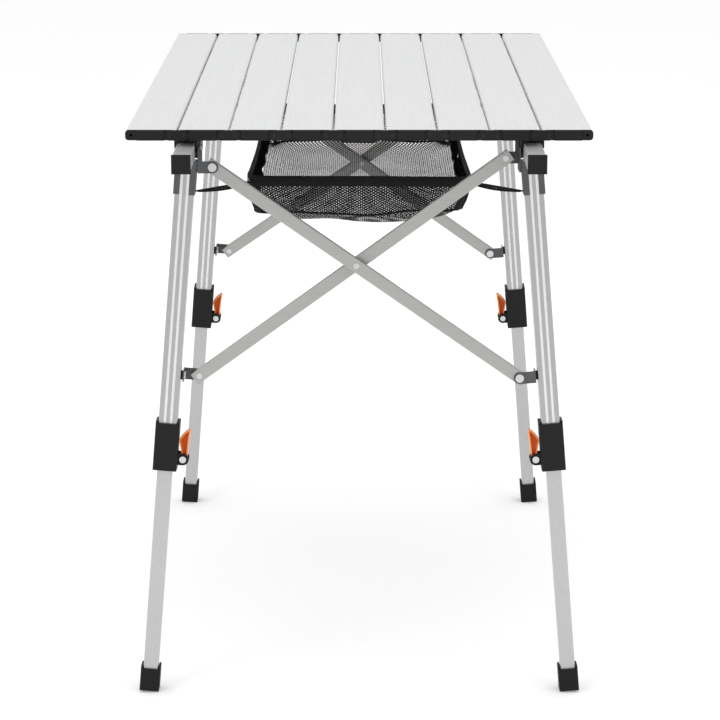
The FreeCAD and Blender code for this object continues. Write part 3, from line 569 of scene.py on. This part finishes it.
def lever_outline():
    """The crescent, counter-clockwise: up the outer side and back by the elbow."""
    outer = arc_points((HUB, 0.0), (HUB * 1.06, TIP * 0.5), (HUB * 1.3, TIP - 0.001), 16)
    tip = arc_points((HUB * 1.3, TIP - 0.001), (HUB * 1.18, TIP), (HUB * 0.9, TIP), 3)
    inner = arc_points((HUB * 0.9, TIP), (-HUB * 0.32, TIP * 0.83),
                       (-ELBOW_OUT - HUB, ELBOW + ELBOW_ROUND), 8)
    elbow = arc_points((-ELBOW_OUT - HUB, ELBOW + ELBOW_ROUND), (-0.0004 - HUB, ELBOW),
                       (-ELBOW_OUT - HUB, ELBOW - ELBOW_ROUND), 3)
    back = [(-ELBOW_OUT - HUB, ELBOW - ELBOW_ROUND), (-0.0015, HUB - 0.001)]
    hub = arc_points((-HUB * 0.8, HUB * 0.6), (-HUB * 0.5, -HUB * 0.866), (HUB, 0.0), 12)
    points = []
    for p in outer + tip + inner + elbow + back + hub:
        if not points or math.dist(p, points[-1]) > 0.0003:
            points.append(p)
    if math.dist(points[0], points[-1]) < 0.0003:
        points.pop()
    return points


def make_lever(name, body, place):
    bm = bmesh.new()
    outline = lever_outline()
    sides = [[bm.verts.new((x, y, z)) for x, z in outline] for y in (-WIDE / 2, WIDE / 2)]
    count = len(outline)
    front = bm.faces.new(sides[0])
    back = bm.faces.new(sides[1][::-1])
    for k in range(count):
        bm.faces.new((sides[0][k], sides[1][k], sides[1][(k + 1) % count],
                      sides[0][(k + 1) % count]))
    bmesh.ops.recalc_face_normals(bm, faces=bm.faces)
    for face in (front, back):
        bmesh.ops.inset_region(bm, faces=[face], thickness=RIM_THICK,
                               use_even_offset=True)
        bmesh.ops.inset_region(bm, faces=[face], thickness=WALL_SLOPE,
                               depth=-WEB_DEPTH)
        # the sunk web takes the darker orange: painted shade
        face.material_index = 1
    bm.transform(place)
    mesh = bpy.data.meshes.new(name)
    bm.to_mesh(mesh)
    bm.free()
    mesh.materials.append(orange_plastic)
    mesh.materials.append(web_painted_shade_plastic)
    lever = bpy.data.objects.new(name, mesh)
    bpy.context.scene.collection.objects.link(lever)
    bevel = lever.modifiers.new("soft_edges", "BEVEL")
    bevel.width = 0.0004
    bevel.segments = 2
    bevel.limit_method = "ANGLE"
    bevel.angle_limit = math.radians(40)
    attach(lever, body)
    return lever


for end in ENDS:
    for side in SIDES:
        hinge = joints[f"{end}_{side}_cam_lever"]
        up = Vector(joints[f"{end}_{side}_leg_length"]["axis"]).normalized()
        y_way = Vector(hinge["axis"]).normalized()
        x_way = y_way.cross(up).normalized()
        place = Matrix.Translation(Vector(hinge["pos_m"])) @ Matrix(
            (x_way, y_way, up)).transposed().to_4x4()
        lever = make_lever(f"{end}_{side}_cam_handle", f"{end}_{side}_cam", place)
        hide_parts(f"{end}_{side}_lever")

# ------------------------------------------------------------ floor and light
floor_mat = Shader("studio_floor", (0.93, 0.93, 0.93), 0.9,
                   Emission_Color=(1, 1, 1, 1), Emission_Strength=0.2)
floor_mat.link(floor_mat.ramp(floor_mat.noise((3.0, 3.0, 3.0)), 0.925, 0.935),
               "Base Color")
bpy.ops.mesh.primitive_plane_add(size=60, location=(0, 0, 0))
floor = bpy.context.object
floor.name = "studio_floor"
floor.data.materials.append(floor_mat.material)

world = bpy.data.worlds.new("studio")
bpy.context.scene.world = world
world.use_nodes = True
world.node_tree.nodes["Background"].inputs["Color"].default_value = (1, 1, 1, 1)
backdrop = world.node_tree.nodes["Background"]
seen = world.node_tree.nodes.new("ShaderNodeLightPath")
level = world.node_tree.nodes.new("ShaderNodeMapRange")
level.inputs["To Min"].default_value = 0.82
level.inputs["To Max"].default_value = 1.0
world.node_tree.links.new(seen.outputs["Is Camera Ray"], level.inputs["Value"])
world.node_tree.links.new(level.outputs["Result"], backdrop.inputs["Strength"])


def soft_light(name, location, target, size, power):
    data = bpy.data.lights.new(name, "AREA")
    data.shape = "RECTANGLE"
    data.size, data.size_y = size
    data.energy = power
    light = bpy.data.objects.new(name, data)
    light.location = location
    way = Vector(target) - Vector(location)
    light.rotation_euler = way.to_track_quat("-Z", "Y").to_euler()
    bpy.context.scene.collection.objects.link(light)


soft_light("top_light", (0, -0.3, 3.2), (0, 0, 0.4), (4.5, 4.5), 34)
soft_light("key_light", (-2.2, -2.4, 2.0), (0, 0, 0.5), (1.2, 2.0), 12)
soft_light("fill_light", (2.6, -2.0, 1.4), (0, 0, 0.5), (1.2, 2.0), 6)

# ---------------------------------------------------------------------- camera
camera_data = bpy.data.cameras.new("camera")
camera_data.sensor_width = 36
camera_data.lens = 129.85
camera = bpy.data.objects.new("camera", camera_data)
camera.location = (0.0009, -3.371, 1.1608)
camera.rotation_euler = (math.radians(90 - 14.208), 0, 0)
bpy.context.scene.collection.objects.link(camera)
bpy.context.scene.camera = camera
camera_data.clip_start = 0.05
camera_data.clip_end = 100

bpy.context.scene.view_settings.view_transform = "Standard"
bpy.context.scene.view_settings.look = "None"
